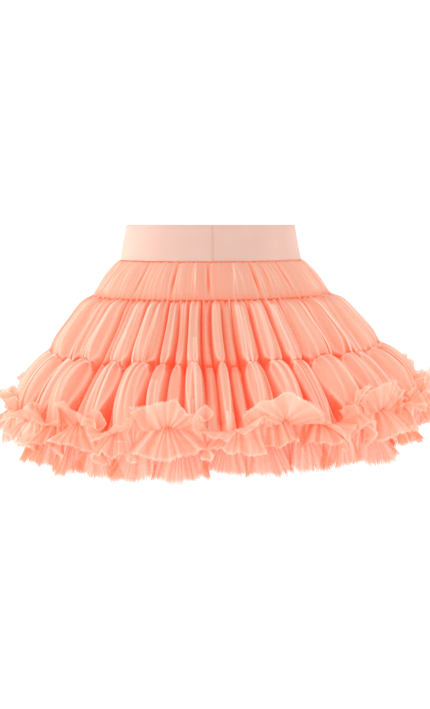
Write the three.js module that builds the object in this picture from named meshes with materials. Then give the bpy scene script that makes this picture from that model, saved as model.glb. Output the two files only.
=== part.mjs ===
// A child's tulle party skirt, filled out as it hangs from its waist.
// Millimetres, +Z up, front towards -Y, origin in the middle of the waistband.
import * as THREE from "three";

// Wall of each cloth, and the gap left at every seam. The puffed tiers are the thickest tulle,
// because their net is gathered most.
const ELASTIC_WALL = 2;
const LINING_WALL = 1;
const TULLE_WALL = 1.2;
const PUFF_WALL = 1.6;
const SEAM_GAP = 0.3;

// The hem hangs a little to the right of the waist, and its right side is a little higher.
const HEM_SWAY = 8;
const HEM_LIFT = 9;
const WAIST_Z = 19;
const HEM_Z = -176;

// Rows of a level table: height, half width, half depth, fold depth, lean of the folds in degrees.
const [Z, WIDE, DEEP, FOLD, LEAN] = [0, 1, 2, 3, 4];
const WAISTBAND_LEVELS = [
  [WAIST_Z, 92, 72, 0, 0],
  [6, 94.5, 74.5, 0, 0],
  [-8, 97, 77.5, 0, 0],
  [-19, 99, 80, 0, 0],
];
const LINING_LEVELS = [
  [-19.5, 98.6, 79.6, 0, 20],
  [-50, 112, 93, 2, 20],
  [-90, 119, 101, 3, 12],
  [-128, 122, 104, 3.5, 8],
];
const YOKE_LEVELS = [
  [-19.6, 100.7, 81.7, 0, 30],
  [-23, 105, 86, 1.4, 38],
  [-38, 118, 98, 2.4, 42],
  [-56.7, 131, 112, 0, 45],
];
const MIDDLE_LEVELS = [
  [-57.12, 131.1, 112.1, 0, 45],
  [-66, 141, 123, 4.5, 45],
  [-85, 154, 139, 7.5, 42],
  [-104, 169, 154, 8, 40],
  [-117, 178, 162, 6, 40],
];
const LOWER_LEVELS = [
  [-117.36, 178.1, 162.1, 6, 40],
  [-126, 189, 171, 8.5, 38],
  [-141, 203, 184, 9.5, 33],
  [-158, 216, 197, 8, 28],
  [HEM_Z, 227, 208, 3, 20],
];
const INNER_LEVELS = [
  [-57.4, 129.2, 110.2, 0, 45],
  [-85, 138, 121, 3, 38],
  [-117, 155, 141, 4.5, 35],
  [-150, 180, 166, 5.5, 30],
  [-188, 205, 187, 4, 20],
];

// Even folds of the plainer pieces: how many, a seed for their unequal sizes, how unequal.
const BAND_FOLDS = [12, 0, 0];
const LINING_FOLDS = [8, 2, 0.3];
const YOKE_FOLDS = [16, 5, 0.35];
const INNER_TIER_FOLDS = [12, 8, 0.3];
const INNER_FAN_FOLDS = [30, 7, 0.25];

// Rows of a fold table: width in degrees, how far the fold stands proud (1 is an average fold).
// They run from the left side across the front to the right side, and on round the back.
const FRONT_PUFFS = [
  [15, 1.0], [14, 1.1], [9, 0.6], [11, 1.2], [4, -0.3], [8, 1.0], [10, 1.2],
  [5, 0.9], [4, 0.4], [6, 1.2], [4, -0.4], [4.5, 0.9], [4, -0.4], [7, 1.0],
  [8, 1.1], [7, 0.8], [14, 1.3], [11.5, 1.0], [6, 0.5], [13, 1.1], [15, 1.2],
];
const BACK_PUFFS = [
  [14, 1.0], [11, 0.7], [13, 1.2], [7, 0.4], [12, 1.1], [10, 1.0], [15, 1.3], [8, 0.5],
  [13, 1.1], [12, 0.9], [6, 0.3], [14, 1.2], [11, 1.0], [9, 0.7], [12, 1.2], [13, 1.0],
];

// Hem ruffle: a strip gathered along its middle, so one flange stands up and one hangs down.
const UPPER_FLANGE = 24;
const LOWER_FLANGE = 27;
const UPPER_LEAN = 60;
const LOWER_LEAN = -56;
const RUFFLE_SWING = 6;
const RUFFLE_FRILL = 0.6;
const RUFFLE_STAND = 4.7;
// Rows of the fan table: width in degrees, how much further the fan's middle reaches.
const FRONT_FANS = [
  [13, 0.0], [13, 0.15], [14, 0.1], [12, 0.3], [12, 0.45], [9, 0.1], [14, 0.4], [10, 0.0],
  [17, 0.55], [7, 0.1], [7, 0.6], [15, 0.4], [8, 0.0], [14, 0.3], [15, 0.1],
];
const BACK_FANS = [
  [13, 0.2], [12, 0.4], [15, 0.5], [10, 0.1], [14, 0.4], [12, 0.2], [16, 0.5],
  [9, 0.0], [13, 0.4], [14, 0.45], [11, 0.2], [15, 0.5], [12, 0.3], [14, 0.4],
];

// Inner hem ruffle: a strip gathered along its top edge.
const INNER_FLANGE = 34;
const INNER_LEAN = -64;
const INNER_SWING = 6;
const INNER_STAND = 0.5;

// How far a gather line lies below the hem that carries it.
const RUFFLE_DROP = 1.5 * SEAM_GAP;

// How tightly the gather line bunches at the middle of a fan, and how far its edge spreads.
const BUNCH = 0.6;
const SPREAD = 0.35;

// How flat a fold's crest is, how narrow its valleys are, and how steep its wall is followed.
const SHARPNESS = 2.1;
const SQUEEZE = 0.2;
const STEEPEST = 0.28;

// The lathe's own radius, which every point then leaves, and how near two points lie that give
// the run of the cloth down its length.
const LATHE_RADIUS = 100;
const NEARBY = 0.02;

const radians = THREE.MathUtils.degToRad;

// An even spread of unequal numbers between -1 and 1, the same on every run.
const uneven = (index, seed) =>
  Math.sin(index * 2.399 + seed) * 0.6 + Math.sin(index * 5.11 + seed * 3) * 0.4;

// A smooth value through one column of a level table, v running from 0 to 1 down its rows.
function levelAt(levels, v, column) {
  const last = levels.length - 1;
  const place = THREE.MathUtils.clamp(v, 0, 1) * last;
  const row = Math.min(Math.floor(place), last - 1);
  const value = (i) => levels[THREE.MathUtils.clamp(i, 0, last)][column];
  const [a, b, c, d] = [-1, 0, 1, 2].map((step) => value(row + step));
  const t = place - row;
  const bend = 2 * b + (c - a) * t + (2 * a - 5 * b + 4 * c - d) * t * t;
  return (bend + (3 * b - a - 3 * c + d) * t * t * t) / 2;
}

// Turns widths into starting angles, so that the folds fill one whole turn from the left side.
function layFolds(rows) {
  const total = rows.reduce((sum, [width]) => sum + width, 0);
  let start = -90;
  return rows.map(([width, proud]) => {
    const fold = { start, width: (width / total) * 360, proud };
    start += fold.width;
    return fold;
  });
}

// A ring of folds worked out from a count alone, each a little unlike its neighbours.
function evenFolds(count, seed, variety) {
  const widths = Array.from({ length: count }, (_, i) => 1 + variety * uneven(i, seed));
  return layFolds(widths.map((width, i) => [width, 1 + 0.6 * uneven(i, seed + 1)]));
}

// Angle and height of the folded cloth at a place counted in folds.
function foldAt(folds, place) {
  const index = Math.floor(place);
  const fold = folds[THREE.MathUtils.euclideanModulo(index, folds.length)];
  const across = place - index;
  const squeezed = across - (SQUEEZE * Math.sin(2 * Math.PI * across)) / (2 * Math.PI);
  const round = 1 - Math.abs(2 * across - 1) ** SHARPNESS;
  return {
    angle: radians(fold.start + fold.width * squeezed),
    height: -1 + (1 + fold.proud) * round,
  };
}

// The unit vector that leans up from the horizontal at an angle round the skirt.
function outward(angle, lean) {
  const flat = Math.cos(radians(lean));
  return new THREE.Vector3(
    flat * Math.sin(angle),
    -flat * Math.cos(angle),
    Math.sin(radians(lean)),
  );
}

// A point of a level, with the sway and lift that the hem has in full.
function onLevel(angle, z, wide, deep) {
  const drop = ((WAIST_Z - z) / (WAIST_Z - HEM_Z)) ** 2;
  return new THREE.Vector3(
    wide * Math.sin(angle) + HEM_SWAY * drop,
    -deep * Math.cos(angle),
    z + HEM_LIFT * drop * Math.sin(angle),
  );
}

// The middle of a folded tier's wall.
function tierPoint(levels, folds, place, v) {
  const { angle, height } = foldAt(folds, place);
  const [z, wide, deep, fold, lean] = [Z, WIDE, DEEP, FOLD, LEAN].map((column) =>
    levelAt(levels, v, column),
  );
  return onLevel(angle, z, wide, deep).addScaledVector(outward(angle, lean), fold * height);
}

// The line that a ruffle is gathered on, just outside and below the edge that carries it.
function gatherLine(levels, angle, stand) {
  const [z, wide, deep] = [Z, WIDE, DEEP].map((column) => levelAt(levels, 1, column));
  return onLevel(angle, z - RUFFLE_DROP, wide + stand, deep + stand);
}

// A flange's outer face looks a quarter turn away from the way it runs.
const faceLean = (lean) => lean - 90 * Math.sign(lean);

// A point of a gathered flange, at a place counted in fans and a share of the way to its edge.
// The gather line is bunched at the middle of each fan, and the edge spreads and stands proud there.
function flangePoint(levels, fans, place, share, flange) {
  const { length, fanOut, lean, swing, stand, frill } = flange;
  const index = Math.floor(place);
  const fan = fans[THREE.MathUtils.euclideanModulo(index, fans.length)];
  const across = place - index;
  const turn = 2 * Math.PI * across;
  const bunching = THREE.MathUtils.lerp(BUNCH, -SPREAD, share) / (2 * Math.PI);
  const angle = radians(fan.start + fan.width * (across + bunching * Math.sin(turn)));
  const reach = length * share * (1 + fanOut * fan.proud * Math.sin(turn / 2) ** 2);
  const wave = frill * Math.sin(2 * turn + 0.7 * uneven(0, fan.start)) - Math.cos(turn);
  return gatherLine(levels, angle, stand)
    .addScaledVector(outward(angle, lean), reach)
    .addScaledVector(outward(angle, faceLean(lean)), swing * share ** 0.8 * wave);
}

// A closed wall round the skirt: a closed lathe profile whose points are moved to a middle
// surface, and from there half the wall out on one side and half the wall in on the other, along
// the way that the cloth faces as a whole. Where a fold's side is steep the wall is made longer
// that way, so that it stays as thick. So no fold is too sharp for its wall, and two pieces that
// share a seam have parallel cut edges.
function clothRing(name, material, { columns, rows, wall, point, facing }) {
  const profile = [];
  for (let row = 0; row < rows; row++) profile.push({ side: -1, v: row / (rows - 1) });
  for (let row = rows - 1; row >= 0; row--) profile.push({ side: 1, v: row / (rows - 1) });
  profile.push(profile[0]);
  const geometry = new THREE.LatheGeometry(
    profile.map(({ side, v }) => new THREE.Vector2(LATHE_RADIUS + side, -v)),
    columns,
  );
  const positions = geometry.getAttribute("position");
  for (let column = 0; column <= columns; column++) {
    const at = column % columns;
    profile.forEach(({ side, v }, index) => {
      const along = point(at + 0.5, v).sub(point(at - 0.5, v));
      const below = point(at, Math.min(v + NEARBY, 1));
      const down = below.sub(point(at, Math.max(v - NEARBY, 0)));
      const face = facing(at, v);
      const slope = down.cross(along).normalize().dot(face);
      const half = wall / 2 / Math.max(slope, STEEPEST);
      const moved = point(at, v).addScaledVector(face, side * half);
      positions.setXYZ(column * profile.length + index, moved.x, moved.y, moved.z);
    });
  }
  matchDiagonals(geometry, profile.length - 1, rows - 1);
  geometry.deleteAttribute("uv");
  geometry.computeVertexNormals();
  const mesh = new THREE.Mesh(geometry, material);
  mesh.name = name;
  return mesh;
}

// A lathe splits each patch into two triangles. The outer side runs the other way, so its patches
// are split again along the inner side's diagonals, and a twisted patch keeps its thickness.
function matchDiagonals(geometry, strips, innerStrips) {
  const index = geometry.getIndex();
  for (let patch = 0; patch < index.count / 6; patch++) {
    if (patch % strips < innerStrips) continue;
    const [a, b, d, c] = [0, 1, 2, 3].map((corner) => index.getX(patch * 6 + corner));
    [a, b, c, c, d, a].forEach((corner, place) => index.setX(patch * 6 + place, corner));
  }
}

// A tier made from its level table and its folds.
function tier(name, material, levels, folds, columnsPerFold, rows, wall = TULLE_WALL) {
  return clothRing(name, material, {
    columns: folds.length * columnsPerFold,
    rows,
    wall,
    point: (column, v) => tierPoint(levels, folds, column / columnsPerFold, v),
    facing: (column, v) => {
      const { angle } = foldAt(folds, column / columnsPerFold);
      return outward(angle, levelAt(levels, v, LEAN));
    },
  });
}

// A ruffle made from its fans and one or two flanges. Two meet at the gather line, halfway down.
function ruffle(name, material, levels, fans, columnsPerFan, flanges) {
  const [upper, lower] = flanges.length === 2 ? flanges : [null, flanges[0]];
  const flangeAt = (v) => (upper && v < 0.5 ? upper : lower);
  const shareAt = (v) => (upper ? Math.abs(2 * v - 1) : v);
  const point = (column, v) =>
    flangePoint(levels, fans, column / columnsPerFan, shareAt(v), flangeAt(v));
  return clothRing(name, material, {
    columns: fans.length * columnsPerFan,
    rows: upper ? 3 : 2,
    wall: TULLE_WALL,
    point,
    facing: (column, v) => {
      const spot = point(column, v);
      const angle = Math.atan2(spot.x, -spot.y);
      const lean = faceLean(flangeAt(v).lean);
      const atGathers = upper && shareAt(v) === 0;
      return outward(angle, atGathers ? (lean + faceLean(upper.lean)) / 2 : lean);
    },
  });
}

const cloth = (color, roughness) =>
  new THREE.MeshStandardMaterial({ color, roughness, metalness: 0, side: THREE.DoubleSide });
const elasticJersey = cloth(0xf1ccbe, 0.75);
const liningJersey = cloth(0xe9a58c, 0.8);
const outerTulle = cloth(0xf9ae94, 0.85);
const innerTulle = cloth(0xf98f70, 0.85);

const puffs = layFolds([...FRONT_PUFFS, ...BACK_PUFFS]);
const outerFans = layFolds([...FRONT_FANS, ...BACK_FANS]);
const innerFans = evenFolds(...INNER_FAN_FOLDS);
const upperFlange = {
  length: UPPER_FLANGE, fanOut: 0.8, lean: UPPER_LEAN, swing: RUFFLE_SWING, stand: RUFFLE_STAND,
  frill: RUFFLE_FRILL,
};
const lowerFlange = {
  length: LOWER_FLANGE, fanOut: 0.35, lean: LOWER_LEAN, swing: RUFFLE_SWING, stand: RUFFLE_STAND,
  frill: RUFFLE_FRILL,
};
const innerFlange = {
  length: INNER_FLANGE, fanOut: 0.12, lean: INNER_LEAN, swing: INNER_SWING, stand: INNER_STAND,
  frill: 0,
};

const waistband = tier(
  "waistband", elasticJersey, WAISTBAND_LEVELS, evenFolds(...BAND_FOLDS), 4, 3, ELASTIC_WALL,
);
const lining = tier(
  "lining_slip", liningJersey, LINING_LEVELS, evenFolds(...LINING_FOLDS), 6, 4, LINING_WALL,
);
const yoke = tier("yoke_tier", outerTulle, YOKE_LEVELS, evenFolds(...YOKE_FOLDS), 5, 4);
const middle = tier("middle_tier", outerTulle, MIDDLE_LEVELS, puffs, 5, 5, PUFF_WALL);
const lower = tier("lower_tier", outerTulle, LOWER_LEVELS, puffs, 5, 5, PUFF_WALL);
const inner = tier(
  "inner_tier", innerTulle, INNER_LEVELS, evenFolds(...INNER_TIER_FOLDS), 6, 4,
);
const hemRuffle = ruffle(
  "hem_ruffle", outerTulle, LOWER_LEVELS, outerFans, 12, [upperFlange, lowerFlange],
);
const innerRuffle = ruffle(
  "inner_ruffle", innerTulle, INNER_LEVELS, innerFans, 6, [innerFlange],
);

const skirt = new THREE.Group();
skirt.add(waistband, lining, yoke, middle, lower, hemRuffle, inner, innerRuffle);
export default skirt;
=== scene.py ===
# %% [markdown]
# A child's tulle party skirt: a jersey waistband, a sheer yoke over a lining, gathered tiers of
# soft puffs, and a ruffled hem over an inner ruffled layer. It is filled out, with no wearer.
# The frame is the solid model of the skirt. Each cloth below is a thin shell on its solid's form,
# with the finer gathers that real net has, and takes its solid's place.

# %% Load the frame
import math

import bmesh
import bpy
import numpy as np
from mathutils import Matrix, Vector


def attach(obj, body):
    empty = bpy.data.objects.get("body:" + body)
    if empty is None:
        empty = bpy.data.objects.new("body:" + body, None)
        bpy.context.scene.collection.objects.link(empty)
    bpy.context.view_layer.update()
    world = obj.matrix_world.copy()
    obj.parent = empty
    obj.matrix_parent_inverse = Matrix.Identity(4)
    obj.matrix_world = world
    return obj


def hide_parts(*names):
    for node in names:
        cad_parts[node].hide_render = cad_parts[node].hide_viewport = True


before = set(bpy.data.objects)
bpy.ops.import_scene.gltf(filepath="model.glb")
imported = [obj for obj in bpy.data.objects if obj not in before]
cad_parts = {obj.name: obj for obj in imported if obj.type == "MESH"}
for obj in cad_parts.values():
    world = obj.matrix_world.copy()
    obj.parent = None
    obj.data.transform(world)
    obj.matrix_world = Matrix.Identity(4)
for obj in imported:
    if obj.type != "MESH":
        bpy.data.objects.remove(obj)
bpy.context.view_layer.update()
MM = 0.001
print("solids", sorted(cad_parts))

# %% [markdown]
# Every cloth of the skirt is a ring, so it is easiest to think of it unrolled: u runs once round
# the skirt and v runs down the cloth. It could be modelled by pulling on a lathed shape, but a
# table is easier to set right. It says how wide and deep the ring is at each height, how far its
# folds stand out there and which way they lean. A smooth curve through the rows fills in the rest,
# so a few rows are enough for a whole tier. The hem hangs a little to one side and higher there.

# %% Levels of each cloth, in millimetres
WAIST_Z = 19
HEM_Z = -176
HEM_SWAY = 8
HEM_LIFT = 9
LEVEL_COLUMNS = ("height", "half width", "half depth", "fold depth", "lean in degrees")
LEVELS = {
    "waistband": [
        (19, 92, 72, 0, 0), (6, 94.5, 74.5, 0, 0), (-8, 97, 77.5, 0, 0), (-19, 99, 80, 0, 0),
    ],
    "lining_slip": [
        (-19.5, 98.6, 79.6, 0, 20), (-50, 112, 93, 2, 20), (-90, 119, 101, 3, 12),
        (-128, 122, 104, 3.5, 8),
    ],
    "yoke_tier": [
        (-19.6, 100.7, 81.7, 0, 30), (-23, 105, 86, 1.4, 38), (-38, 118, 98, 2.4, 42),
        (-56.7, 131, 112, 0, 45),
    ],
    "middle_tier": [
        (-57.1, 131.1, 112.1, 0, 45), (-66, 141, 123, 4.5, 45), (-85, 154, 139, 7.5, 42),
        (-104, 169, 154, 8, 40), (-117, 178, 162, 6, 40),
    ],
    "lower_tier": [
        (-117.3, 178.1, 162.1, 6, 40), (-126, 189, 171, 8.5, 38), (-141, 203, 184, 9.5, 33),
        (-158, 216, 197, 7, 28), (-176, 227, 208, 1, 20),
    ],
    "inner_tier": [
        (-57.4, 129.2, 110.2, 0, 45), (-85, 138, 121, 3, 38), (-117, 155, 141, 4.5, 35),
        (-150, 180, 166, 5.5, 30), (-188, 205, 187, 4, 20),
    ],
}


def level_at(levels, v):
    """The five columns of a level table at v, on a smooth curve through its rows."""
    rows = np.array(levels, float)
    last = len(rows) - 1
    place = np.clip(v, 0, 1) * last
    row = np.minimum(place.astype(int), last - 1)
    a, b, c, d = (rows[np.clip(row + step, 0, last)] for step in (-1, 0, 1, 2))
    t = (place - row)[:, None]
    curve = 2 * b + (c - a) * t + (2 * a - 5 * b + 4 * c - d) * t**2 + (3 * b - a - 3 * c + d) * t**3
    return (curve / 2).T


for name, levels in LEVELS.items():
    print(name, len(levels), "rows of", ", ".join(LEVEL_COLUMNS))

# %% [markdown]
# Gathered net doesn't fall in even waves. Each puff here has its own width and stands proud by its
# own amount, read off the photo for the front, with puffs of the same kind round the back. A sine
# wave would be shorter to write, but it looks like corrugated card: on real tulle the puffs are
# wide and round and the valleys between them narrow and sharp, because the net is springy.

# %% Folds round the skirt
PUFF_COLUMNS = ("width in degrees", "pride", "how the valley on its left opens towards the hem")
FRONT_PUFFS = [
    (15, 1.0, -0.6), (14, 1.1, 1.0), (9, 0.6, 0.6), (11, 1.2, 0.7), (4, -0.3, 0.6), (8, 1.0, -0.7),
    (10, 1.2, 1.0), (5, 0.9, 0.8), (4, 0.4, 0.5), (6, 1.2, 0.9), (4, -0.4, -0.7), (4.5, 0.9, 0.7),
    (4, -0.4, 1.0), (7, 1.0, 0.5), (8, 1.1, 1.0), (7, 0.8, 0.5), (14, 1.3, 1.0), (11.5, 1.0, 1.1),
    (6, 0.5, 0.6), (13, 1.1, 1.0), (15, 1.2, 0.3),
]
BACK_PUFFS = [
    (14, 1.0, 0.9), (11, 0.7, -0.5), (13, 1.2, 0.8), (7, 0.4, 0.3), (12, 1.1, 1.0), (10, 1.0, -0.7),
    (15, 1.3, 1.0), (8, 0.5, 0.5), (13, 1.1, 0.9), (12, 0.9, 0.0), (6, 0.3, 1.0), (14, 1.2, 0.8),
    (11, 1.0, -0.6), (9, 0.7, 0.9), (12, 1.2, 0.6), (13, 1.0, 1.0),
]


def uneven(index, seed):
    """Numbers between -1 and 1 that look unequal but are the same on every run."""
    return np.sin(index * 2.399 + seed) * 0.6 + np.sin(index * 5.11 + seed * 3) * 0.4


def lay_folds(rows):
    """Rows of start and width in degrees, pride and what else a table has, from the left side on."""
    widths, *rest = np.array(rows, float).T
    widths = widths / widths.sum() * 360
    return np.column_stack([np.cumsum(widths) - widths - 90, widths, *rest])


def even_folds(count, seed, variety):
    """A ring of folds from a count alone, each a little unlike its neighbours."""
    index = np.arange(count)
    widths = 1 + variety * uneven(index, seed)
    prides = 1 + 0.6 * uneven(index, seed + 1)
    return lay_folds(np.column_stack([widths, prides]))


def ripple(angle, low, high, seed):
    """A wavering line round the skirt, from waves of low to high periods a turn."""
    chance = np.random.default_rng(seed)
    total = np.zeros_like(angle)
    for count in range(low, high + 1):
        total += np.sin(count * angle + chance.uniform(0, 2 * math.pi)) * chance.uniform(0.4, 1)
    return total / math.sqrt(high - low + 1)


PUFFS = lay_folds(FRONT_PUFFS + BACK_PUFFS)
print(len(PUFFS), "puffs in each tier, each with its", ", ".join(PUFF_COLUMNS))

# %% [markdown]
# A grid from bmesh is the unrolled cloth. Numpy moves all its points at once, which is quick
# enough for the many thousands that fine gathers need. The two ends then meet and are welded.
# The UV map keeps the cloth's own millimetres, so the net has one scale on every tier. What the
# net looks like at each point goes into named attributes, which the materials read.


# %% From a flat grid to a ring of cloth
def outward(angle, lean):
    """Unit vectors that leave the skirt at an angle round it and lean up from the horizontal."""
    lean = np.radians(lean)
    level = np.cos(lean)
    return np.column_stack([level * np.sin(angle), -level * np.cos(angle), np.sin(lean) + 0 * angle])


def on_level(angle, z, wide, deep):
    """Points of a level, with the sway and lift that the hem has in full."""
    drop = ((WAIST_Z - z) / (WAIST_Z - HEM_Z)) ** 2
    x = wide * np.sin(angle) + HEM_SWAY * drop
    y = -deep * np.cos(angle)
    return np.column_stack([x, y, z + HEM_LIFT * drop * np.sin(angle)])


def flat_grid(name, columns, rows, cut):
    """The unrolled cloth, one unit square, with a UV map in the metres of its cut."""
    form = bmesh.new()
    bmesh.ops.create_grid(form, x_segments=columns, y_segments=rows, size=0.5)
    uv = form.loops.layers.uv.new("cut")
    for face in form.faces:
        for loop in face.loops:
            x, y, _ = loop.vert.co
            loop[uv].uv = ((x + 0.5) * cut[0], (0.5 - y) * cut[1])
    mesh = bpy.data.meshes.new(name)
    form.to_mesh(mesh)
    form.free()
    return mesh


def cloth_ring(name, columns, rows, surface, cut):
    """A ring of cloth. surface(u, v) gives points in millimetres and what the net looks like there:
    how densely it lies and how much painted shade it gets, how much painted highlight it gets on
    its fold edges and how near its frayed cut edge is."""
    mesh = flat_grid(name, columns, rows, cut)
    flat = np.empty(len(mesh.vertices) * 3, np.float32)
    mesh.vertices.foreach_get("co", flat)
    u = flat[0::3].astype(float) + 0.5
    v = 0.5 - flat[1::3].astype(float)
    points, *looks = surface(np.where(u > 1 - 1e-6, 0, u), np.clip(v, 0, 1))
    mesh.vertices.foreach_set("co", (points * MM).astype(np.float32).ravel())
    for title, values in zip(("density_and_shade", "light", "fray"), looks):
        layer = mesh.attributes.new(title, "FLOAT", "POINT")
        layer.data.foreach_set("value", np.clip(values, 0, 1).astype(np.float32))
    form = bmesh.new()
    form.from_mesh(mesh)
    bmesh.ops.remove_doubles(form, verts=form.verts, dist=1e-7)
    bmesh.ops.recalc_face_normals(form, faces=form.faces)
    form.to_mesh(mesh)
    form.free()
    mesh.shade_smooth()
    piece = bpy.data.objects.new(name, mesh)
    bpy.context.collection.objects.link(piece)
    print(name, len(mesh.vertices), "points")
    return piece


print("the front of the skirt looks along", outward(np.zeros(1), 0)[0].round(3))

# %% [markdown]
# A fold is described by where it lies across its puff and by its rise, 0 in a valley and 1 on a
# crest. The fine gathers could be one more wave, but two that drift against each other look
# hand-sewn. They depend on the angle alone, so two tiers that share a seam match along it.

# %% Shapes of folds and gathers
SQUEEZE = 0.6
CREST = 2.3


def bump_at(distance, width):
    """1 at no distance, fading smoothly to 0 over about twice the width."""
    return np.exp(-((distance / width) ** 2))


def band_at(distance, width, hardness=4):
    """1 near no distance, falling quickly to 0 at the width."""
    return np.exp(-((distance / width) ** hardness))


def squeeze(across):
    """Places across a puff, drawn towards its valleys."""
    return across - SQUEEZE * np.sin(2 * np.pi * across) / (2 * np.pi)


def fold_shape(folds, place):
    """Angle, rise, pride, number and share across of the fold at each place."""
    index = np.floor(place).astype(int) % len(folds)
    across = place - np.floor(place)
    start, width, proud = folds[index, :3].T
    rise = 1 - np.abs(2 * across - 1) ** CREST
    return np.radians(start + width * squeeze(across)), rise, proud, index, across


def gathers(angle):
    """Fine uneven pleats, rounded outside and sharp inside, between -1 and 1."""
    phase = 64 * angle + 2.2 * ripple(angle, 3, 19, 11)
    finer = 151 * angle + 1.5 * ripple(angle, 5, 23, 12)
    coarse_pleat = 1 - 2 * np.abs(np.sin(phase)) ** 0.7
    fine_pleat = 1 - 2 * np.abs(np.sin(finer)) ** 0.8
    return 0.65 * coarse_pleat + 0.35 * fine_pleat


sample = gathers(np.linspace(0, 2 * np.pi, 2000))
print("gathers run from", sample.min().round(2), "to", sample.max().round(2))

# %% [markdown]
# Wide puffs of real net have creases of their own. Some hold a tuck that starts and ends between
# the seams, and each has a few long slanting lines, where the net lies doubled on one side. Bump
# alone would show them, but colour does most of the work here: the creases add painted shade in
# the tucks and on one side of each line, along with the deeper colour of doubled net, and painted
# highlights along the tuck edges and the lines.

# %% Creases of wide puffs, in millimetres
TUCKED_SIZE = 22
CREASED_SIZE = 17
TUCK_HALF = 1.8
TUCK_EDGE = 2.6
LINE_WIDTH = 0.8
LINES = 3


def puff_creases(index, across, squeezed, size, v, seed):
    """How much painted shade and how much painted highlight the creases of wide puffs get."""
    tuck = 0.5 + 0.2 * uneven(index, seed + 17) + 0.1 * uneven(index, seed + 18) * (v - 0.5)
    within = bump_at(v - 0.5 - 0.25 * uneven(index, seed + 19), 0.42) * (size > TUCKED_SIZE)
    crease_shade = 0.7 * within * band_at(squeezed - size * tuck, TUCK_HALF)
    crease_highlight = 0.8 * within * bump_at(squeezed - size * tuck - TUCK_EDGE, LINE_WIDTH)
    for line in range(LINES):
        number = index * LINES + line
        start = 0.5 + 0.34 * uneven(number, seed + 9)
        slant = 0.22 * uneven(number, seed + 10) * (v - 0.5)
        beyond = squeezed - size * (start + slant)
        crease_highlight = crease_highlight + 0.7 * bump_at(beyond, LINE_WIDTH) * (size > CREASED_SIZE)
        doubled = uneven(number, seed + 14) * np.tanh(beyond / 0.6) * np.sin(np.pi * across)
        crease_shade = crease_shade + 0.36 * doubled * (size > CREASED_SIZE)
    return crease_shade, crease_highlight


print("puffs over", CREASED_SIZE, "mm wide have", LINES, "creases each")

# %% [markdown]
# A tier's surface is its level, pushed out by the puffs, by fine gathers that die away from the
# seams, and by a slow waver that keeps the folds from running dead straight. A cloth simulation
# could find such a shape, but not this one: here each puff has to lie where the photo shows it.
# Where a puff is sewn it is pinched and starts narrow, like an arch. Towards the hem the ruffle
# pulls some puffs together, and a deep wedge opens beside them, while other valleys fade out.

# %% The surface of a folded tier, with lengths in millimetres
GATHER_REACH = 13
GATHER_DEPTH = 1.5
WAVER = 0.012
WAVER_HEIGHT = 60
SCALLOP = 6.5
SEAM_WAVE = 0.7
SEAM_REACH = 6
SEAM_WIDTH = 1.2
ARCH = 5.5
ARCH_REACH = 9
WEDGE = 9
WEDGE_REACH = 30
FULL_FOLD = 5
VALLEY_HALF = 2.6
# Where the painted highlight along each fold edge lies, and how wide it is.
RIM_HIGHLIGHT_PLACE = 3.3
RIM_HIGHLIGHT_WIDTH = 0.75
HEADER = 6
# Where the painted highlight on each puff's shoulder lies under its seam, and how wide it is.
SHOULDER_PLACE = 4
SHOULDER_WIDTH = 2.2


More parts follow.
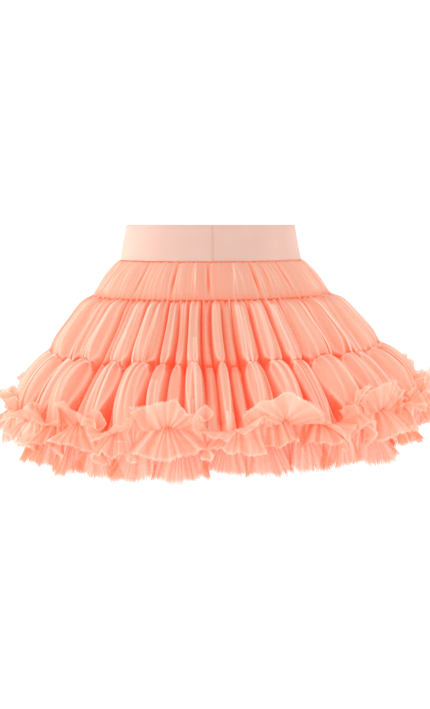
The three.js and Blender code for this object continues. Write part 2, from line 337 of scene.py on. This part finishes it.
def tier_surface(
    levels, folds, length, valley=1.6, fine=1.0, top_gather=1.0, foot_gather=1.0, fold_shade_and_highlight=1.0,
    arches=(0, 0), wedge=0, header=0, fade_upwards=False, seed=0,
):
    """The surface of a tier whose strip is length millimetres from its upper to its lower seam.

    valley is the depth of the valleys, fine the share of fine gathers, fold_shade_and_highlight the
    strength of the painted shade in the valleys and of the painted highlights along them, arches how
    pinched the puffs are at both ends, wedge how far valleys open towards the hem, and header how
    dense the turned seam edges are.
    """

    def surface(u, v):
        straight, rise, proud, index, across = fold_shape(folds, u * len(folds))
        z, wide, deep, fold, lean = level_at(levels, v)
        from_top, from_foot = v * length, (1 - v) * length
        middle_height = np.sin(np.pi * v)
        full = np.minimum(fold / FULL_FOLD, 1)

        # How each valley opens, fades and is pinched on its way from seam to seam.
        nearest = np.where(across < 0.5, index, (index + 1) % len(folds))
        opening = folds[nearest, 3] if wedge else -0.9 * uneven(nearest, seed + 12)
        fading = np.clip(-opening, 0, 0.75) * (1 - v if fade_upwards else v) ** 1.5
        rise = 1 - (1 - rise) * (1 - fading)
        arch = arches[0] * bump_at(from_top, ARCH_REACH) + arches[1] * bump_at(from_foot, ARCH_REACH)
        opened = wedge * bump_at(from_foot, WEDGE_REACH) * np.clip(opening, 0, 1.2)
        pinch = 0.5 * arch + 0.3 * opened
        rise = np.clip((rise - pinch) / (1 - pinch), 0, 1)
        belly = 1 + 0.28 * uneven(index, seed + 3) * middle_height
        height = (-valley + (valley + proud) * rise) * belly

        # The folds waver, and creases and gathers are pushed out of them.
        below_yoke = z - LEVELS["middle_tier"][0][0]
        angle = straight + WAVER * ripple(straight, 2, 9, 21) * below_yoke / WAVER_HEIGHT
        angle = angle + 1.2 * WAVER * ripple(straight, 4, 17, 22 + seed) * middle_height
        phase = 2 * np.pi * across * (2 + index % 2) + 2 * uneven(index, seed + 5)
        crease = np.cos(phase) * np.sin(np.pi * across)
        near = top_gather * np.exp(-from_top / GATHER_REACH)
        near = near + foot_gather * np.exp(-from_foot / (0.7 * GATHER_REACH))
        gather = gathers(straight)
        push = fold * height + GATHER_DEPTH * fine * (0.12 + near) * gather
        push = push + 1.3 * fine * crease * middle_height * full
        sag = SCALLOP * (1 - rise) * np.minimum(fold / 6, 1)
        seams = bump_at(from_top, SEAM_REACH) + bump_at(from_foot, SEAM_REACH)
        wave = SEAM_WAVE * fine * seams * ripple(straight, 24, 60, 51)
        points = on_level(angle, z - sag + wave, wide, deep) + push[:, None] * outward(angle, lean)

        # Millimetres across the puff place its valley, its painted highlights along the fold edges and
        # its creases.
        size = np.radians(folds[index, 1]) * wide
        squeezed = squeeze(across) * size
        side = np.minimum(squeezed, size - squeezed) - np.minimum(ARCH, 0.2 * size) * arch
        side = np.maximum(side - np.minimum(WEDGE, 0.28 * size) * opened, 0)
        fold_shade_and_highlight_here = fold_shade_and_highlight * full

        # The net is dense along seams and at its turned edges. Valleys, opening wedges and crease
        # hollows get painted shade on top of the deeper colour of bunched net, and so do the hollows
        # between fine gathers near the seams.
        sunk = np.clip(-height, 0, valley) / valley
        strength = (1 + 0.4 * uneven(nearest, seed + 6)) * np.minimum(1, size / 30) ** 0.5 * (1 - fading)
        valley_shade = 0.35 * sunk**0.8 + 0.75 * band_at(side, VALLEY_HALF)
        density_and_shade = 0.42 * (np.exp(-from_top / SEAM_WIDTH) + np.exp(-from_foot / SEAM_WIDTH))
        density_and_shade = density_and_shade + fold_shade_and_highlight_here * strength * (0.8 + 0.35 * v**2) * valley_shade
        density_and_shade = density_and_shade + header * (band_at(from_top, HEADER, 6) + 0.5 * band_at(from_foot, HEADER, 6))
        density_and_shade = density_and_shade + 0.35 * fold_shade_and_highlight * opened * bump_at(side, 2)
        hollow = np.clip(-crease, 0, 1) ** 2 * (size > 20)
        density_and_shade = density_and_shade + 0.5 * fold_shade_and_highlight_here * hollow * (0.7 + 0.4 * uneven(index, seed + 16))
        density_and_shade = density_and_shade + 0.2 * fold_shade_and_highlight_here * uneven(index, seed + 7) + 0.55 * near * fine * (1 - gather) - 0.16

        # Painted highlights: the net is pale where a fold edge turns towards the light, on crease lines,
        # on each puff's shoulder under its seam and on the crests of fine gathers near the seams.
        highlight_place = RIM_HIGHLIGHT_PLACE * (1 + 0.3 * uneven(index, seed + 8) * middle_height)
        light = 0.8 * fold_shade_and_highlight_here * bump_at(side - highlight_place, RIM_HIGHLIGHT_WIDTH) * (proud > 0) * (1 - 0.4 * arch)
        crease_shade, crease_highlight = puff_creases(index, across, squeezed, size, v, seed)
        shoulder_highlight = bump_at(from_top - SHOULDER_PLACE, SHOULDER_WIDTH) * rise * full
        light = light + fold_shade_and_highlight_here * crease_highlight + 0.35 * shoulder_highlight + 0.55 * (gather > 0.4) * near * fine
        return points, density_and_shade + fold_shade_and_highlight_here * crease_shade, light, 0 * v

    return surface


print("gathers stand", GATHER_DEPTH, "mm proud at a seam and fade within", GATHER_REACH, "mm")

# %% [markdown]
# The hem ruffle is a strip gathered along its middle. Where the gathers bunch, the strip opens
# into a fan above and below the stitching, and between two fans it folds back. Frills are often
# drawn as a sine wave along the hem, but no two fans are alike on real net: each leans, curls,
# spreads and rolls its own way, and the line of stitching climbs and dips. So the table gives each
# fan's width, how much further its middle reaches, how its stitching climbs and how its tips lean.

# %% Fans of the hem ruffle
FAN_COLUMNS = ("width", "pride", "climb", "lean of the upper tip", "lean of the lower tip", "opening")
FRONT_FANS = [
    (12, 0.2, 3, 0, 0, 1.2), (12, 0.15, 0, 10, 0, 1.2), (12, 0.1, 2, 5, 0, 1.0),
    (11, 0.3, 1, -10, 0, 1.25), (12, 0.5, 5, 10, 5, 1.1), (10, 0.1, -1, -42, 5, 0.9),
    (18, 0.35, 6, 0, 0, 1.0), (14, 0.1, 1, -15, 12, 1.2), (10.5, 0.75, 8, 8, 6, 1.85),
    (10.5, 0.1, -2, -40, 10, 0.9), (7, 0.8, 11, 14, 22, 0.8), (14, 0.4, 6, 4, 12, 1.3),
    (8, 0.0, 0, -25, 0, 1.0), (14, 0.3, 7, 5, 0, 1.2), (15, 0.25, 3, 6, 0, 1.3),
]
BACK_FANS = [
    (13, 0.2, 2, 4, 0, 1.1), (12, 0.4, 7, 8, 8, 0.9), (15, 0.3, 3, -8, 0, 1.4),
    (10, 0.1, -1, -38, 6, 1.0), (14, 0.4, 5, 6, 0, 1.1), (12, 0.2, 0, -20, 10, 1.2),
    (16, 0.3, 6, 8, 0, 1.45), (9, 0.0, -1, -35, 4, 0.9), (13, 0.4, 4, 5, 14, 1.0),
    (14, 0.45, 1, 0, 0, 1.2), (11, 0.6, 9, 10, 16, 0.7), (15, 0.5, 2, -12, 0, 1.25),
    (12, 0.3, 6, 6, 10, 1.0), (14, 0.4, 0, -5, 0, 1.1),
]
OUTER_FANS = lay_folds(FRONT_FANS + BACK_FANS)
INNER_FANS = np.pad(even_folds(30, 7, 0.25), ((0, 0), (0, 4)))
INNER_FANS[:, -1] = 1
print(len(OUTER_FANS), "fans round the outer hem,", len(INNER_FANS), "round the inner one")
print("each has its", ", ".join(FAN_COLUMNS))

# %% [markdown]
# A flange is one side of the strip. Its length, swing and fray are in millimetres, and its lean,
# curl and spread in degrees. The upper one stands up and opens wide, the lower one hangs, and the
# inner ruffle is a single long flange with feathery cut edges.

# %% Flanges of both ruffles
BUNCH = 0.93
PLEAT = 0.7
EDGE_WAVE = 2.7
CRUMPLE = 3.6
# pale is the strength of each flange's painted highlights.
UPPER = dict(
    length=24, fan_out=0.8, lean=60, curl=35, swing=6, stand=1.0, spread=84, fray=3.0, pale=0.9,
    layers=-0.1, seed=3,
)
LOWER = dict(
    length=27, fan_out=0.35, lean=-56, curl=25, swing=9.5, stand=1.0, spread=58, fray=3.2,
    pale=0.95, layers=0.16, seed=17,
)
INNER = dict(
    length=38, fan_out=0.12, lean=-67, curl=12, swing=5, stand=0, spread=32, fray=9, pale=0.35,
    layers=0.16, seed=29,
)


def flange_part(u, share, levels, fans, pleats, flange):
    """Points and looks of one flange, a share of the way from its gather line to its cut edge."""
    place = u * len(fans)
    index = np.floor(place).astype(int) % len(fans)
    start, width, proud, climb, upper_tip, lower_tip, opening = fans[index].T
    across = place - np.floor(place)
    turn = 2 * np.pi * across
    s = 2 * across - 1
    inside = np.sin(turn / 2)
    upwards = flange["lean"] > 0

    def chance(number):
        return uneven(index, flange["seed"] + number)

    # How far the net fans out. Where the upper flange opens wide, the lower one is pulled
    # together into a narrow tail, and beside the tail it is drawn up under the fan.
    opened = opening if upwards else 1.65 - 0.75 * opening + 0.25 * chance(13)
    spread = np.radians(flange["spread"] * (1 + 0.2 * chance(1))) * opened
    tilt = spread * s * (1 - np.abs(s) ** 7) + 0.5 * chance(2) * inside
    jag = 1 + 0.05 * ripple(2 * np.pi * u, 90, 140, flange["seed"])
    further = 1 + flange["fan_out"] * proud * inside**2 + 0.2 * chance(9) * inside
    reach = flange["length"] * share * jag * further
    if not upwards:
        reach = reach * (1 - np.clip(opening - 1.1, 0, 0.55) * np.abs(s) ** 1.5)

    # How far it stands out of its own plane: it folds back between fans, pleats and crumples.
    pleat = np.sin(pleats * turn + 2 * chance(4) + 1.1 * np.sin(3 * turn + chance(6)))
    edge = np.sin(4 * turn + 3 * chance(5)) + 0.7 * np.sin(7 * turn + 5 * chance(7))
    crumple = ripple(2 * np.pi * u, 60, 110, flange["seed"] + 5)
    back = -np.cos(turn) - 0.6 * np.abs(s) ** 9
    out = flange["swing"] * share**0.7 * back + 0.8 * chance(3) * reach * np.sin(tilt)
    out = out + PLEAT * share**0.6 * pleat + EDGE_WAVE * share**1.8 * edge
    out = out + CRUMPLE * share**1.3 * crumple

    # Where it is sewn on, and the way that it leans from there.
    angle = np.radians(start + width * (across + BUNCH / (2 * np.pi) * np.sin(turn)))
    z, wide, deep, _, _ = level_at(levels, np.ones_like(u))
    root = on_level(angle, z + 0.8, wide + flange["stand"], deep + flange["stand"])
    climbing = 1.5 * ripple(angle, 8, 24, 46) + climb * inside**2
    root = root + climbing[:, None] * outward(angle, 95)
    side = np.column_stack([np.cos(angle), np.sin(angle), 0 * angle])
    tip = (upper_tip if upwards else lower_tip) + 6 * chance(8)
    lean = flange["lean"] + tip * inside + flange["curl"] * (chance(10) - 0.3) * share * inside
    points = root + (reach * np.cos(tilt))[:, None] * outward(angle, lean)
    points = points + (reach * np.sin(tilt))[:, None] * side
    points = points + out[:, None] * outward(angle, lean - 90 if upwards else lean + 90)

    # The net is darkest where it is pinched, in the middle of each fan. Painted shade darkens it where
    # it turns back between fans and in its pleats, and painted highlights lighten its cut edge, its
    # pleats and its crumples.
    pinched = np.exp(-share * 6) * (0.15 + 0.85 * inside**4)
    turned_shade = (0.3 * np.abs(s) ** 5 + 0.2 * (1 - pleat)) * (1 - 0.5 * share)
    density_and_shade = flange["layers"] + 0.8 * pinched + turned_shade
    pleat_highlights = 0.3 * (pleat > 0.6) + 0.3 * bump_at(crumple - 0.9, 0.25)
    cut_edge_highlight = 0.55 * bump_at(share - 0.94, 0.05)
    light = flange["pale"] * (cut_edge_highlight + pleat_highlights + 0.12 + 0.2 * chance(11))
    fray = 1 - (1 - share) * flange["length"] / flange["fray"]
    return points, density_and_shade, light, fray


def flange_surface(levels, fans, pleats, *flanges):
    """A ruffle's surface. Two flanges share the gather line at v = 0.5, and one starts at v = 0."""

    def surface(u, v):
        if len(flanges) == 1:
            return flange_part(u, v, levels, fans, pleats, flanges[0])
        upper = v < 0.5
        share = np.abs(2 * v - 1)
        above = flange_part(u, share, levels, fans, pleats, flanges[0])
        below = flange_part(u, share, levels, fans, pleats, flanges[1])
        for lower_values, upper_values in zip(below, above):
            lower_values[upper] = upper_values[upper]
        return below

    return surface


print("flanges", UPPER["length"], "mm up,", LOWER["length"], "mm down,", INNER["length"], "mm inside")

# %% [markdown]
# The net itself is far finer than a pixel of a whole view, but it shows close up. An image of net
# would do it, but three sets of threads that cross at sixty degrees give its small open cells at
# any scale. The group puts out a thread mask, and each material turns that into alpha, so light
# really passes through the holes.


# %% Net of crossed threads, shared by every tulle
def node(tree, kind, links=(), **values):
    """A shader node with its properties and input values set, and its inputs linked."""
    made = tree.nodes.new(kind)
    for name, value in values.items():
        if hasattr(made, name):
            setattr(made, name, value)
        else:
            made.inputs[name.replace("_", " ")].default_value = value
    for name, source in dict(links).items():
        tree.links.new(source, made.inputs[name])
    return made


def combine(tree, operation, first, second, use_clamp=False):
    """What a Math node makes of two sockets."""
    links = {0: first, 1: second}
    return node(tree, "ShaderNodeMath", links, operation=operation, use_clamp=use_clamp).outputs[0]


def ramp(tree, source, low, high, low_value, high_value):
    """The source's range from low to high, brought to the two values."""
    values = dict(From_Min=low, From_Max=high, To_Min=low_value, To_Max=high_value)
    return node(tree, "ShaderNodeMapRange", {"Value": source}, **values).outputs[0]


CELL = 0.0011
THREAD_HALF = 0.1
THREAD_EDGE = 0.22


def net_group():
    """A group that puts out 1 on the threads of a net and 0 in its holes."""
    group = bpy.data.node_groups.new("net weave", "ShaderNodeTree")
    faces = group.interface
    faces.new_socket(name="Coordinate", in_out="INPUT", socket_type="NodeSocketVector")
    faces.new_socket(name="Cell", in_out="INPUT", socket_type="NodeSocketFloat").default_value = CELL
    faces.new_socket(name="Thread", in_out="OUTPUT", socket_type="NodeSocketFloat")
    enter = group.nodes.new("NodeGroupInput")
    leave = group.nodes.new("NodeGroupOutput")
    threads = []
    for turn in (0, 60, 120):
        spin = node(
            group, "ShaderNodeVectorRotate", {"Vector": enter.outputs["Coordinate"]},
            rotation_type="Z_AXIS", Angle=math.radians(turn),
        )
        split = node(group, "ShaderNodeSeparateXYZ", {0: spin.outputs[0]})
        count = combine(group, "DIVIDE", split.outputs["X"], enter.outputs["Cell"])
        near = node(group, "ShaderNodeMath", {0: count}, operation="PINGPONG")
        near.inputs[1].default_value = 0.5
        threads.append(ramp(group, near.outputs[0], THREAD_HALF, THREAD_EDGE, 1.0, 0.0))
    crossed = combine(group, "MAXIMUM", combine(group, "MAXIMUM", threads[0], threads[1]), threads[2])
    group.links.new(crossed, leave.inputs["Thread"])
    return group


NET = net_group()
print("net with cells of", CELL / MM, "mm")

# %% [markdown]
# Tulle gets its colour from how many threads lie behind each other. On a crest there is one thin
# layer, pale and see-through. In a valley and along a seam the layers bunch, so the colour is
# deeper and little light gets through. Real layers by the dozen would be slow and would flicker,
# so the attribute of density and painted shade that each surface worked out drives both. It also
# holds painted shade in the valleys, crease hollows and wedges, where shade falls, and the light
# attribute holds painted highlights along the fold edges. Long faint streaks run down the cloth,
# where the gathers press it, and a comb of fine noise frays the cut edges. A faint coral emission,
# painted light, stands for the light that net scatters inside its layers.


# %% Tulle
def mix_colour(tree, factor, first, second):
    """Two colours or colour sockets, mixed by the factor."""
    made = node(tree, "ShaderNodeMix", data_type="RGBA")
    for place, value in ((6, first), (7, second)):
        if isinstance(value, tuple):
            made.inputs[place].default_value = (*value, 1)
        else:
            tree.links.new(value, made.inputs[place])
    tree.links.new(factor, made.inputs[0])
    return made.outputs[2]


def mark(tree, name):
    """A value that the cloth's surface worked out for each point."""
    return node(tree, "ShaderNodeAttribute", attribute_name=name).outputs["Fac"]


def noise(tree, uv, scale, **values):
    """Noise on the cut cloth, with its own number of spots a metre across and down."""
    stretched = node(tree, "ShaderNodeMapping", {"Vector": uv.outputs[0]}, Scale=(*scale, 1))
    links = {"Vector": stretched.outputs[0]}
    return node(tree, "ShaderNodeTexNoise", links, Scale=1.0, **values).outputs["Fac"]


GRAIN = 640
FRAYED = (1900, 60)
CORAL_GLOW = (1, 0.33, 0.17, 1)
SHEEN_PEACH = (1, 0.75, 0.6, 1)


def tulle(name, pale, deep, rim, alphas, glow, streaks=(420, 14), streak_depth=0.12):
    """Net that is pale where it lies single, deep where it lies dense and where shade is painted, and
    paler where highlights are painted at its fold edges.
    """
    material = bpy.data.materials.new(name)
    material.use_nodes = True
    tree = material.node_tree
    shader = tree.nodes["Principled BSDF"]
    uv = node(tree, "ShaderNodeUVMap", uv_map="cut")
    streak = noise(tree, uv, streaks, Detail=3.0, Roughness=0.6)
    grain = noise(tree, uv, (GRAIN, GRAIN), Detail=1.0)
    light = mark(tree, "light")
    pressed = ramp(tree, streak, 0.35, 0.7, streak_depth + 0.02, 0.02 - streak_depth)
    streaked = combine(tree, "ADD", mark(tree, "density_and_shade"), pressed)
    shade = combine(tree, "ADD", streaked, ramp(tree, grain, 0.3, 0.7, 0.14, -0.14), use_clamp=True)
    # The deep colour also carries painted shade, and the rim colour is a painted highlight laid on by
    # the light attribute.
    colour = mix_colour(tree, light, mix_colour(tree, shade, pale, deep), rim)
    tree.links.new(colour, shader.inputs["Base Color"])

    net = node(tree, "ShaderNodeGroup", {"Coordinate": uv.outputs[0]}, node_tree=NET)
    layered = combine(tree, "ADD", shade, ramp(tree, light, 0, 1, 0, 0.3))
    cover = combine(tree, "ADD", layered, ramp(tree, net.outputs["Thread"], 0, 1, -0.2, 0.15))
    strand = noise(tree, uv, FRAYED, Detail=2.0)
    left = combine(tree, "SUBTRACT", strand, ramp(tree, mark(tree, "fray"), 0, 1, 0.18, 0.66))
    kept = ramp(tree, left, -0.1, 0.05, 0, 1)
    alpha = combine(tree, "MULTIPLY", ramp(tree, cover, 0, 1, *alphas), kept)
    tree.links.new(alpha, shader.inputs["Alpha"])

    bump = node(tree, "ShaderNodeBump", {"Height": streak}, Strength=0.2, Distance=0.0005)
    tree.links.new(bump.outputs[0], shader.inputs["Normal"])
    # A faint coral emission is painted light: it stands for light scattered inside the net and lifts its
    # shadows.
    shader.inputs["Emission Color"].default_value = CORAL_GLOW
    shader.inputs["Emission Strength"].default_value = glow
    shader.inputs["Roughness"].default_value = 0.85
    shader.inputs["Specular IOR Level"].default_value = 0.15
    shader.inputs["Sheen Weight"].default_value = 0.08
    shader.inputs["Sheen Roughness"].default_value = 0.35
    shader.inputs["Sheen Tint"].default_value = SHEEN_PEACH
    print(name, "covers from", alphas[0], "to", alphas[1])
    return material


# The last of each tulle's three colours is its painted highlight.
OUTER_TULLE = tulle(
    "outer tulle", (0.88, 0.6, 0.46), (0.94, 0.15, 0.06), (1.0, 0.82, 0.69), (0.7, 0.97), 0.11,
)
RUFFLE_TULLE = tulle(
    "ruffle tulle", (0.88, 0.63, 0.48), (0.94, 0.15, 0.06), (0.97, 0.8, 0.66), (0.58, 0.95), 0.11,
    streaks=(330, 4), streak_depth=0.34,
)
YOKE_TULLE = tulle(
    "yoke tulle", (0.9, 0.6, 0.46), (0.98, 0.2, 0.09), (1.0, 0.8, 0.67), (0.58, 0.92), 0.14,
)
INNER_TULLE = tulle(
    "inner tulle", (0.89, 0.59, 0.41), (0.92, 0.16, 0.07), (0.95, 0.75, 0.6), (0.8, 0.98), 0.12,
    streaks=(360, 6), streak_depth=0.2,
)

# %% [markdown]
# The waistband is elastic under smooth jersey, and the lining is the same kind of jersey. Knit
# shows as fine upright ribs close up and as a soft matt surface from a step away. Ribs in the mesh
# would cost thousands of faces for nothing, so a wave texture makes them in bump.


# %% Jersey
RIBS = 320.0
BLOTCHES = 38.0


def jersey(name, colour, shade, sheen):
    """Matt fine knit that is a little uneven in colour."""
    material = bpy.data.materials.new(name)
    material.use_nodes = True
    tree = material.node_tree
    shader = tree.nodes["Principled BSDF"]
    uv = node(tree, "ShaderNodeUVMap", uv_map="cut").outputs[0]
    rib = node(tree, "ShaderNodeTexWave", {"Vector": uv}, Scale=RIBS, Distortion=0.6, Detail=1.0)
    blotch = node(tree, "ShaderNodeTexNoise", {"Vector": uv}, Scale=BLOTCHES, Detail=4.0)
    patchy = ramp(tree, blotch.outputs["Fac"], 0.3, 0.7, 0.0, 0.25)
    factor = combine(tree, "ADD", patchy, mark(tree, "density_and_shade"), use_clamp=True)
    tree.links.new(mix_colour(tree, factor, colour, shade), shader.inputs["Base Color"])
    bump = node(tree, "ShaderNodeBump", {"Height": rib.outputs["Fac"]}, Strength=0.12, Distance=0.0002)
    tree.links.new(bump.outputs[0], shader.inputs["Normal"])
    shader.inputs["Roughness"].default_value = 0.8
    shader.inputs["Specular IOR Level"].default_value = 0.2
    shader.inputs["Sheen Weight"].default_value = sheen
    shader.inputs["Sheen Roughness"].default_value = 0.4
    print(name, "with a sheen of", sheen)
    return material


BAND_JERSEY = jersey("waistband jersey", (0.86, 0.585, 0.49), (0.75, 0.43, 0.35), 0.05)
LINING_JERSEY = jersey("lining jersey", (0.88, 0.4, 0.26), (0.8, 0.28, 0.16), 0.05)

# %% [markdown]
# The waistband is one loop of folded jersey over elastic. It could be a plain tube, but its seam
# at the centre front pulls in and puckers a little, and its upper edge is a soft fold. So its
# middle surface is made like the other cloths, and two modifiers give it a wall with round rims.

# %% Waistband, in millimetres
SEAM_ANGLE = math.radians(1.6)
BAND_RADIUS = 80
BAND_HEIGHT = 38
GROOVE = 0.9
PUCKER_REACH = 8
HAIRLINE = 4


def band_surface(u, v):
    """The middle surface of the waistband's wall."""
    angle = 2 * np.pi * u - np.pi / 2
    z, wide, deep, _, _ = level_at(LEVELS["waistband"], v)
    beside = (np.mod(angle - SEAM_ANGLE + np.pi, 2 * np.pi) - np.pi) * BAND_RADIUS
    groove = bump_at(beside, GROOVE)
    pucker = 0.25 * bump_at(beside, PUCKER_REACH) * np.sin(v * 60)
    soft = 0.35 * ripple(angle, 3, 14, 31) * np.sin(np.pi * v)
    push = soft + pucker - 0.55 * groove
    down = v * BAND_HEIGHT
    density_and_shade = 0.7 * groove + 0.3 * np.exp(-down / SEAM_WIDTH) + 0.12 * bump_at(down - HAIRLINE, 0.5)
    points = on_level(angle, z, wide, deep) + push[:, None] * outward(angle, 0)
    return points, density_and_shade, 0 * u, 0 * u


def dress(piece, material, node_name):
    """Gives a cloth its material and its place in the frame, and hides the solid whose place it takes.
    """
    piece.data.materials.append(material)
    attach(piece, "root")
    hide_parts(node_name)


waistband = cloth_ring("waistband_cloth", 600, 18, band_surface, (0.54, 0.04))
wall = waistband.modifiers.new("wall", "SOLIDIFY")
wall.thickness = 2 * MM
wall.offset = 0
rim = waistband.modifiers.new("rim", "BEVEL")
rim.width = 0.6 * MM
rim.segments = 3
rim.limit_method = "ANGLE"
dress(waistband, BAND_JERSEY, "waistband")

# %% [markdown]
# The lining hangs inside and is only seen through the yoke, where its soft wrinkles show. A plain
# cone would look flat there, so it is a tier with a few wide shallow folds and hardly any gathers.

# %% Lining
lining = cloth_ring(
    "lining_cloth", 480, 40,
    tier_surface(
        LEVELS["lining_slip"], even_folds(8, 2, 0.3), 112, valley=1.0, fine=0.5, fold_shade_and_highlight=0.3, seed=4,
    ),
    (0.68, 0.112),
)
dress(lining, LINING_JERSEY, "lining_slip")

# %% [markdown]
# The yoke and the two tiers under it are the same net, each strip longer than the one above. One
# function makes all three, with its own values for each: the yoke is nearly flat, with crisp lines
# of painted shade and painted highlight over the lining, and the two tiers puff out. Their puffs
# meet at the seam, so both read one table.

# %% Yoke and tiers
YOKE_FOLDS = even_folds(16, 5, 0.35)
COLUMNS_A_PUFF = 44
yoke = cloth_ring(
    "yoke_cloth", 1100, 36,
    tier_surface(
        LEVELS["yoke_tier"], YOKE_FOLDS, 50, valley=1.0, fine=0.55, fold_shade_and_highlight=1.9, header=0.3, seed=1,
    ),
    (0.9, 0.05),
)
dress(yoke, YOKE_TULLE, "yoke_tier")

middle = cloth_ring(
    "middle_tier_cloth", len(PUFFS) * COLUMNS_A_PUFF, 54,
    tier_surface(
        LEVELS["middle_tier"], PUFFS, 82, top_gather=1.4, arches=(0, 1), fade_upwards=True, seed=2,
    ),
    (1.5, 0.082),
)
dress(middle, OUTER_TULLE, "middle_tier")

lower = cloth_ring(
    "lower_tier_cloth", len(PUFFS) * COLUMNS_A_PUFF, 54,
    tier_surface(
        LEVELS["lower_tier"], PUFFS, 80, foot_gather=0.3, arches=(1, 0), wedge=1, seed=3,
    ),
    (2.0, 0.08),
)
dress(lower, OUTER_TULLE, "lower_tier")

# %% [markdown]
# The inner layer of net shows as the deeper colour behind the outer tiers and below the hem. It
# could be left out where it is hidden, but light passes through the outer net, so it is whole. It
# is one wide strip with a few broad folds, denser than the outer net.

# %% Inner tier
inner = cloth_ring(
    "inner_tier_cloth", 960, 60,
    tier_surface(LEVELS["inner_tier"], even_folds(12, 8, 0.3), 155, valley=1.0, seed=5),
    (1.5, 0.155),
)
dress(inner, INNER_TULLE, "inner_tier")

# %% [markdown]
# Both ruffles are sewn on last, as on the real skirt. The outer one is a single strip with its
# gather line in the middle of the grid, so the upper and the lower flange are one cloth, and its
# mesh needs no join there. The inner one hangs from its upper edge.

# %% Hem ruffles
hem_ruffle = cloth_ring(
    "hem_ruffle_cloth", len(OUTER_FANS) * 50, 44,
    flange_surface(LEVELS["lower_tier"], OUTER_FANS, 9, UPPER, LOWER),
    (2.3, 0.062),
)
dress(hem_ruffle, RUFFLE_TULLE, "hem_ruffle")

inner_ruffle = cloth_ring(
    "inner_ruffle_cloth", len(INNER_FANS) * 60, 30,
    flange_surface(LEVELS["inner_tier"], INNER_FANS, 11, INNER),
    (2.0, 0.036),
)
dress(
    inner_ruffle, INNER_TULLE, "inner_ruffle",
)

# %% [markdown]
# The skirt is shown as a cut-out on white, so the floor lies well below it and is almost white
# itself. The world is a little brighter to the camera than to the cloth: a white that is bright
# enough for the background would wash the peach out.

# %% Floor and white studio
FLOOR_Z = -0.8
FLOOR_SIZE = 6
form = bmesh.new()
bmesh.ops.create_grid(form, x_segments=1, y_segments=1, size=FLOOR_SIZE)
bmesh.ops.translate(form, verts=form.verts, vec=(0, 0, FLOOR_Z))
mesh = bpy.data.meshes.new("floor")
form.to_mesh(mesh)
form.free()
floor = bpy.data.objects.new("floor", mesh)
bpy.context.collection.objects.link(floor)
pale_floor = bpy.data.materials.new("pale floor")
pale_floor.use_nodes = True
floor_shader = pale_floor.node_tree.nodes["Principled BSDF"]
floor_shader.inputs["Base Color"].default_value = (0.5, 0.5, 0.5, 1)
floor_shader.inputs["Emission Color"].default_value = (1, 1, 1, 1)
floor_shader.inputs["Emission Strength"].default_value = 0.72
mesh.materials.append(pale_floor)

WORLD_ON_CLOTH = 0.7
WORLD_TO_CAMERA = 1.05
world = bpy.data.worlds.new("white studio")
bpy.context.scene.world = world
world.use_nodes = True
studio = world.node_tree
path = studio.nodes.new("ShaderNodeLightPath")
brightness = ramp(studio, path.outputs["Is Camera Ray"], 0, 1, WORLD_ON_CLOTH, WORLD_TO_CAMERA)
studio.links.new(brightness, studio.nodes["Background"].inputs["Strength"])
studio.nodes["Background"].inputs["Color"].default_value = (1, 1, 1, 1)
print("floor", -FLOOR_Z, "m below the waist")

# %% [markdown]
# Soft light comes from all round, with a little more from the upper left. One lamp would do for
# that, but net looks solid without light from behind, so two faint ones graze its sides. The
# camera stands at the height of the waistband and looks slightly down.

# %% Lamps and camera
LAMPS = {
    "key": ((-1.2, -1.8, 1.5), 15, 1.8),
    "left rim": ((-1.8, 0.6, 0.4), 20, 1.0),
    "right rim": ((1.8, 0.6, 0.4), 12, 1.0),
}
SKIRT_MIDDLE = Vector((0, 0, -0.1))
for name, (place, watts, size) in LAMPS.items():
    light = bpy.data.lights.new(name, "AREA")
    light.energy = watts
    light.size = size
    lamp = bpy.data.objects.new(name, light)
    lamp.location = place
    lamp.rotation_euler = (SKIRT_MIDDLE - Vector(place)).to_track_quat("-Z", "Y").to_euler()
    bpy.context.collection.objects.link(lamp)
    print(name, watts, "W")

CAMERA_DISTANCE = 1.28
CAMERA_TILT = 6.43
CAMERA_ASIDE = 0.005
FOCAL_PIXELS = 1150
FRAME_PIXELS = 709
SENSOR = 36
camera_data = bpy.data.cameras.new("camera")
camera_data.sensor_width = SENSOR
camera_data.lens = SENSOR * FOCAL_PIXELS / FRAME_PIXELS
camera = bpy.data.objects.new("camera", camera_data)
camera.location = (CAMERA_ASIDE, -CAMERA_DISTANCE, WAIST_Z * MM)
camera.rotation_euler = (math.radians(90 - CAMERA_TILT), 0, 0)
bpy.context.collection.objects.link(camera)
scene = bpy.context.scene
scene.camera = camera
scene.view_settings.view_transform = "Standard"
scene.cycles.transparent_max_bounces = 32
scene.cycles.max_bounces = 16
scene.cycles.diffuse_bounces = 8
print("camera", CAMERA_DISTANCE, "m in front, lens", round(camera_data.lens, 1), "mm")
